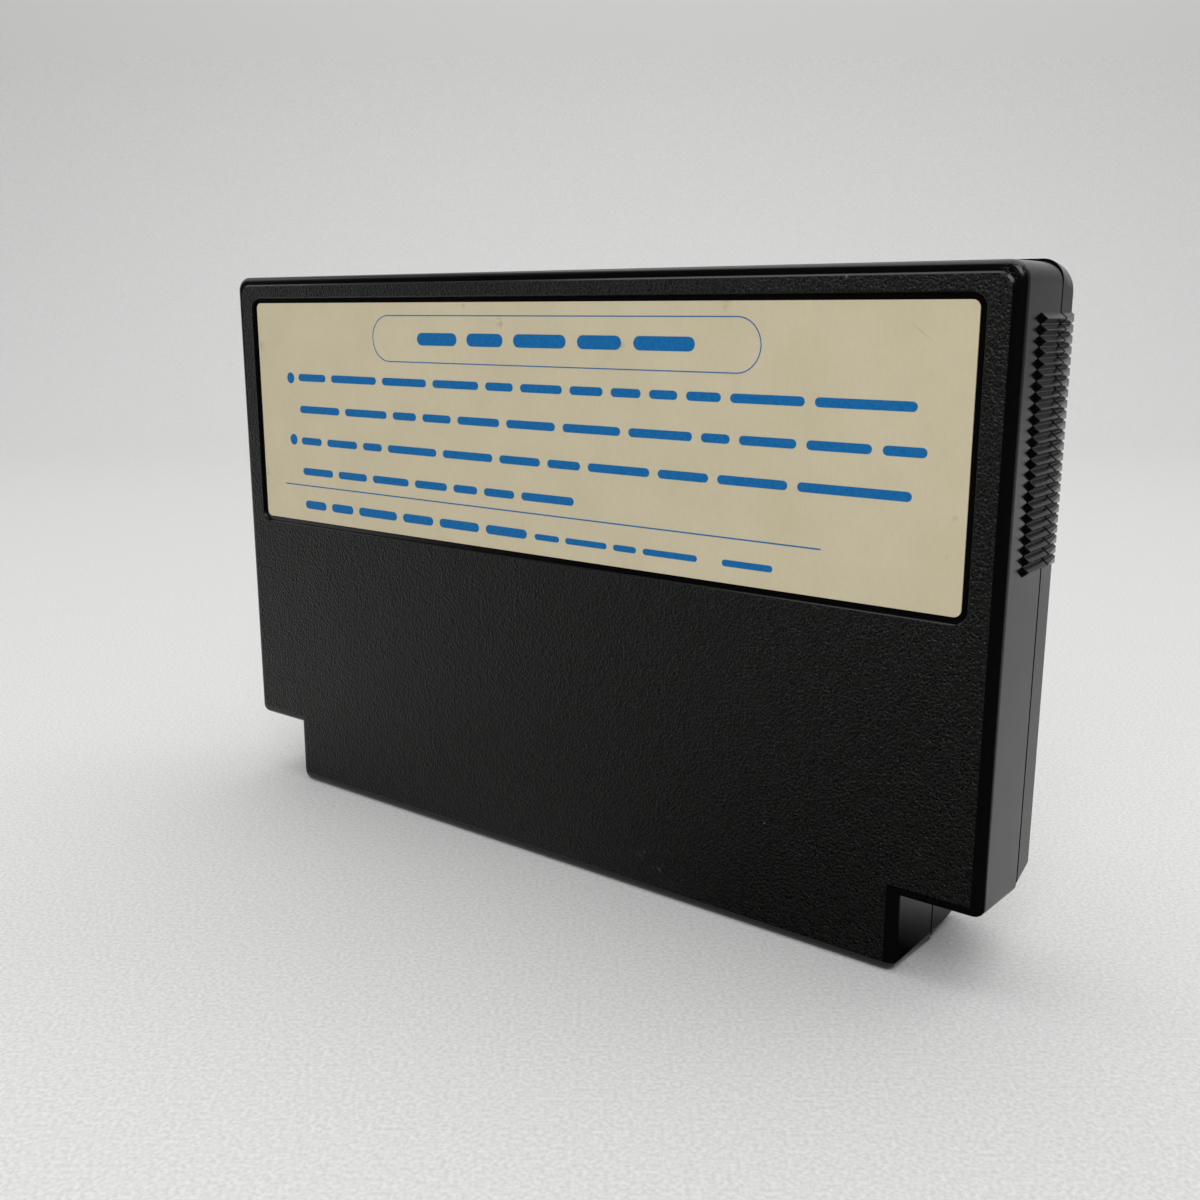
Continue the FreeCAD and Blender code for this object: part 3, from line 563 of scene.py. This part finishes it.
def add_plate(mesh, outline, hole=None):
    """Adds a thin closed plate of ink, or a ring of ink where a hole's outline has as many points."""
    def ring(points, y):
        return [mesh.verts.new((x * MM, y, z * MM)) for x, z in points]

    def band(first, second):
        count = len(first)
        for i in range(count):
            j = (i + 1) % count
            mesh.faces.new((first[i], first[j], second[j], second[i]))

    under = LABEL_FACE_Y + INK_SUNK
    over = LABEL_FACE_Y - INK_THICKNESS
    outer_low, outer_high = ring(outline, under), ring(outline, over)
    band(outer_low, outer_high)
    if hole is None:
        mesh.faces.new(outer_high)
        mesh.faces.new(outer_low)
        return
    inner_low, inner_high = ring(hole, under), ring(hole, over)
    band(inner_high, inner_low)
    band(outer_high, inner_high)
    band(inner_low, outer_low)


def print_piece(name, ink, outlines, hole=None):
    """One piece of print from outlines, or from a single outline with a hole."""
    mesh = bmesh.new()
    for outline in outlines:
        add_plate(mesh, outline, hole)
    bmesh.ops.recalc_face_normals(mesh, faces=mesh.faces)
    data = bpy.data.meshes.new(name)
    mesh.to_mesh(data)
    mesh.free()
    piece = bpy.data.objects.new(name, data)
    bpy.context.scene.collection.objects.link(piece)
    data.materials.append(ink)
    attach(piece, "root")


def row_of_bars(draw, left, right, z, height, shortest, longest, gap):
    """Bars of uneven length that fill a row from left to right."""
    bars = []
    start = left
    while start < right - shortest:
        end = min(start + draw.uniform(shortest, longest), right)
        if right - end < shortest + gap:
            end = right
        bars.append(outline_bar(start, end, z, height))
        start = end + gap
    return bars


def title_frame(inset):
    """Outline of the frame round the title, or a smaller one inside it."""
    return outline_bar(
        TITLE_FRAME_LEFT + inset, TITLE_FRAME_RIGHT - inset, TITLE_Z,
        TITLE_FRAME_HEIGHT - 2 * inset, TITLE_FRAME_END_STEPS)


def print_label():
    """Bars for the lines of words, and the frame, dots and rule between them."""
    ink = label_ink()
    draw = random.Random(PRINT_SEED)
    print_piece("title_frame", ink, [title_frame(0)], title_frame(TITLE_FRAME_LINE))
    print_piece("title_bars", ink, row_of_bars(draw, *TITLE_ENDS, TITLE_Z, **TITLE_BARS))
    print_piece("list_dots", ink, [outline_dot(DOT_X, z) for z in DOT_HEIGHTS])
    lines = []
    for z, right in TEXT_ROWS:
        lines += row_of_bars(draw, TEXT_LEFT, right, z, **TEXT_BARS)
    print_piece("text_bars", ink, lines)
    print_piece("rule", ink, [outline_bar(*RULE_ENDS, RULE_Z, RULE_HEIGHT)])
    foot = row_of_bars(draw, *FOOT_ENDS, FOOT_Z, **FOOT_BARS)
    for ends in SMALL_FOOT_ENDS:
        foot += row_of_bars(draw, *ends, SMALL_FOOT_Z, **SMALL_FOOT_BARS)
    print_piece("foot_bars", ink, foot)


# Stage, light and camera

def stage_sheet(name, rows, material):
    """Sheet square to the camera, from rows of points that run across it."""
    mesh = bmesh.new()
    rows = [[mesh.verts.new(point) for point in row] for row in rows]
    for low, high in zip(rows, rows[1:]):
        for i in range(len(low) - 1):
            mesh.faces.new((low[i], low[i + 1], high[i + 1], high[i])).smooth = True
    data = bpy.data.meshes.new(name)
    mesh.to_mesh(data)
    mesh.free()
    data.materials.append(material)
    sheet = bpy.data.objects.new(name, data)
    sheet.rotation_euler = (0, 0, CAMERA_TURN)
    bpy.context.scene.collection.objects.link(sheet)
    return sheet


def stage_paper():
    """Pale paper with a faint weave."""
    tree = Tree("stage_paper")
    weave = tree.noise(tree.coordinates(), STAGE_WEAVE_SCALE, detail=1.0)
    tree.set(
        Base_Color=tree.mix(tree.spread(weave, NOISE_LOW, NOISE_HIGH), STAGE_SHADE, STAGE_COLOUR),
        Roughness=0.6,
        Specular_IOR_Level=0.2,
    )
    return tree.material


def make_stage():
    """Floor and backdrop in one bent sheet."""
    profile = [(FLOOR_FRONT, 0.0)]
    for step in range(BEND_STEPS + 1):
        angle = math.pi / 2 * step / BEND_STEPS
        profile.append((FLOOR_BACK + BEND_RADIUS * math.sin(angle), BEND_RADIUS * (1 - math.cos(angle))))
    profile.append((FLOOR_BACK + BEND_RADIUS, BACKDROP_TOP))
    sides = (-STAGE_HALF_WIDTH, STAGE_HALF_WIDTH)
    stage_sheet("stage", [[(x, y, z) for x in sides] for y, z in profile], stage_paper())


def shade_cloth():
    """As pale as the floor near the cartridge's foot, and dark further forward and higher up."""
    tree = Tree("shade")
    x, y, z = tree.axes(tree.coordinates())
    right = tree.math("MAXIMUM", tree.math("SUBTRACT", x, SHADE_TURN), 0.0)
    start = tree.math("MULTIPLY_ADD", right, -SHADE_SLANT, SHADE_START)
    ahead = tree.spread(tree.math("SUBTRACT", start, y), 0.0, SHADE_SOFT)
    above = tree.spread(z, SHADE_LIFT, SHADE_FOOT)
    tree.set(
        Base_Color=tree.mix(tree.math("MAXIMUM", ahead, above), SHADE_LIGHT, SHADE_COLOUR),
        Roughness=1.0,
        Specular_IOR_Level=0.0,
    )
    return tree.material


def make_shade():
    """Left wall, floor and end wall of the dark room, met by reflections only."""
    sides = ((SHADE_LEFT, SHADE_HEIGHT), (SHADE_LEFT, SHADE_LIFT), (STAGE_HALF_WIDTH, SHADE_LIFT))
    rows = [[(x, y, z) for x, z in sides] for y in (SHADE_BACK, SHADE_END)]
    rows.append([(x, SHADE_END, SHADE_HEIGHT) for x, z in sides])
    shade = stage_sheet("shade", rows, shade_cloth())
    shade.visible_camera = False
    shade.visible_diffuse = False
    shade.visible_shadow = False
    shade.visible_transmission = False


def add_panel(name, place, aim, size, power):
    """A soft light panel that faces a point."""
    light = bpy.data.lights.new(name, "AREA")
    light.shape = "RECTANGLE"
    light.size, light.size_y = size
    light.energy = power
    panel = bpy.data.objects.new(name, light)
    panel.location = place
    panel.rotation_euler = (Vector(aim) - Vector(place)).to_track_quat("-Z", "Y").to_euler()
    bpy.context.scene.collection.objects.link(panel)


def make_light():
    world = bpy.data.worlds.new("soft_room")
    bpy.context.scene.world = world
    world.use_nodes = True
    background = world.node_tree.nodes["Background"]
    background.inputs["Color"].default_value = (*WORLD_COLOUR, 1.0)
    background.inputs["Strength"].default_value = WORLD_STRENGTH
    for panel in PANELS:
        add_panel(**panel)


def make_camera():
    lens = bpy.data.cameras.new("camera")
    lens.lens = CAMERA_LENS
    lens.sensor_width = CAMERA_SENSOR
    lens.clip_start = CAMERA_CLIP
    camera = bpy.data.objects.new("camera", lens)
    camera.location = CAMERA_PLACE
    camera.rotation_euler = (math.pi / 2 - CAMERA_DROP, 0, CAMERA_TURN)
    bpy.context.scene.collection.objects.link(camera)
    bpy.context.scene.camera = camera


bpy.context.scene.view_settings.view_transform = "Standard"
dress_nodes()
print_label()
make_stage()
make_shade()
make_light()
make_camera()
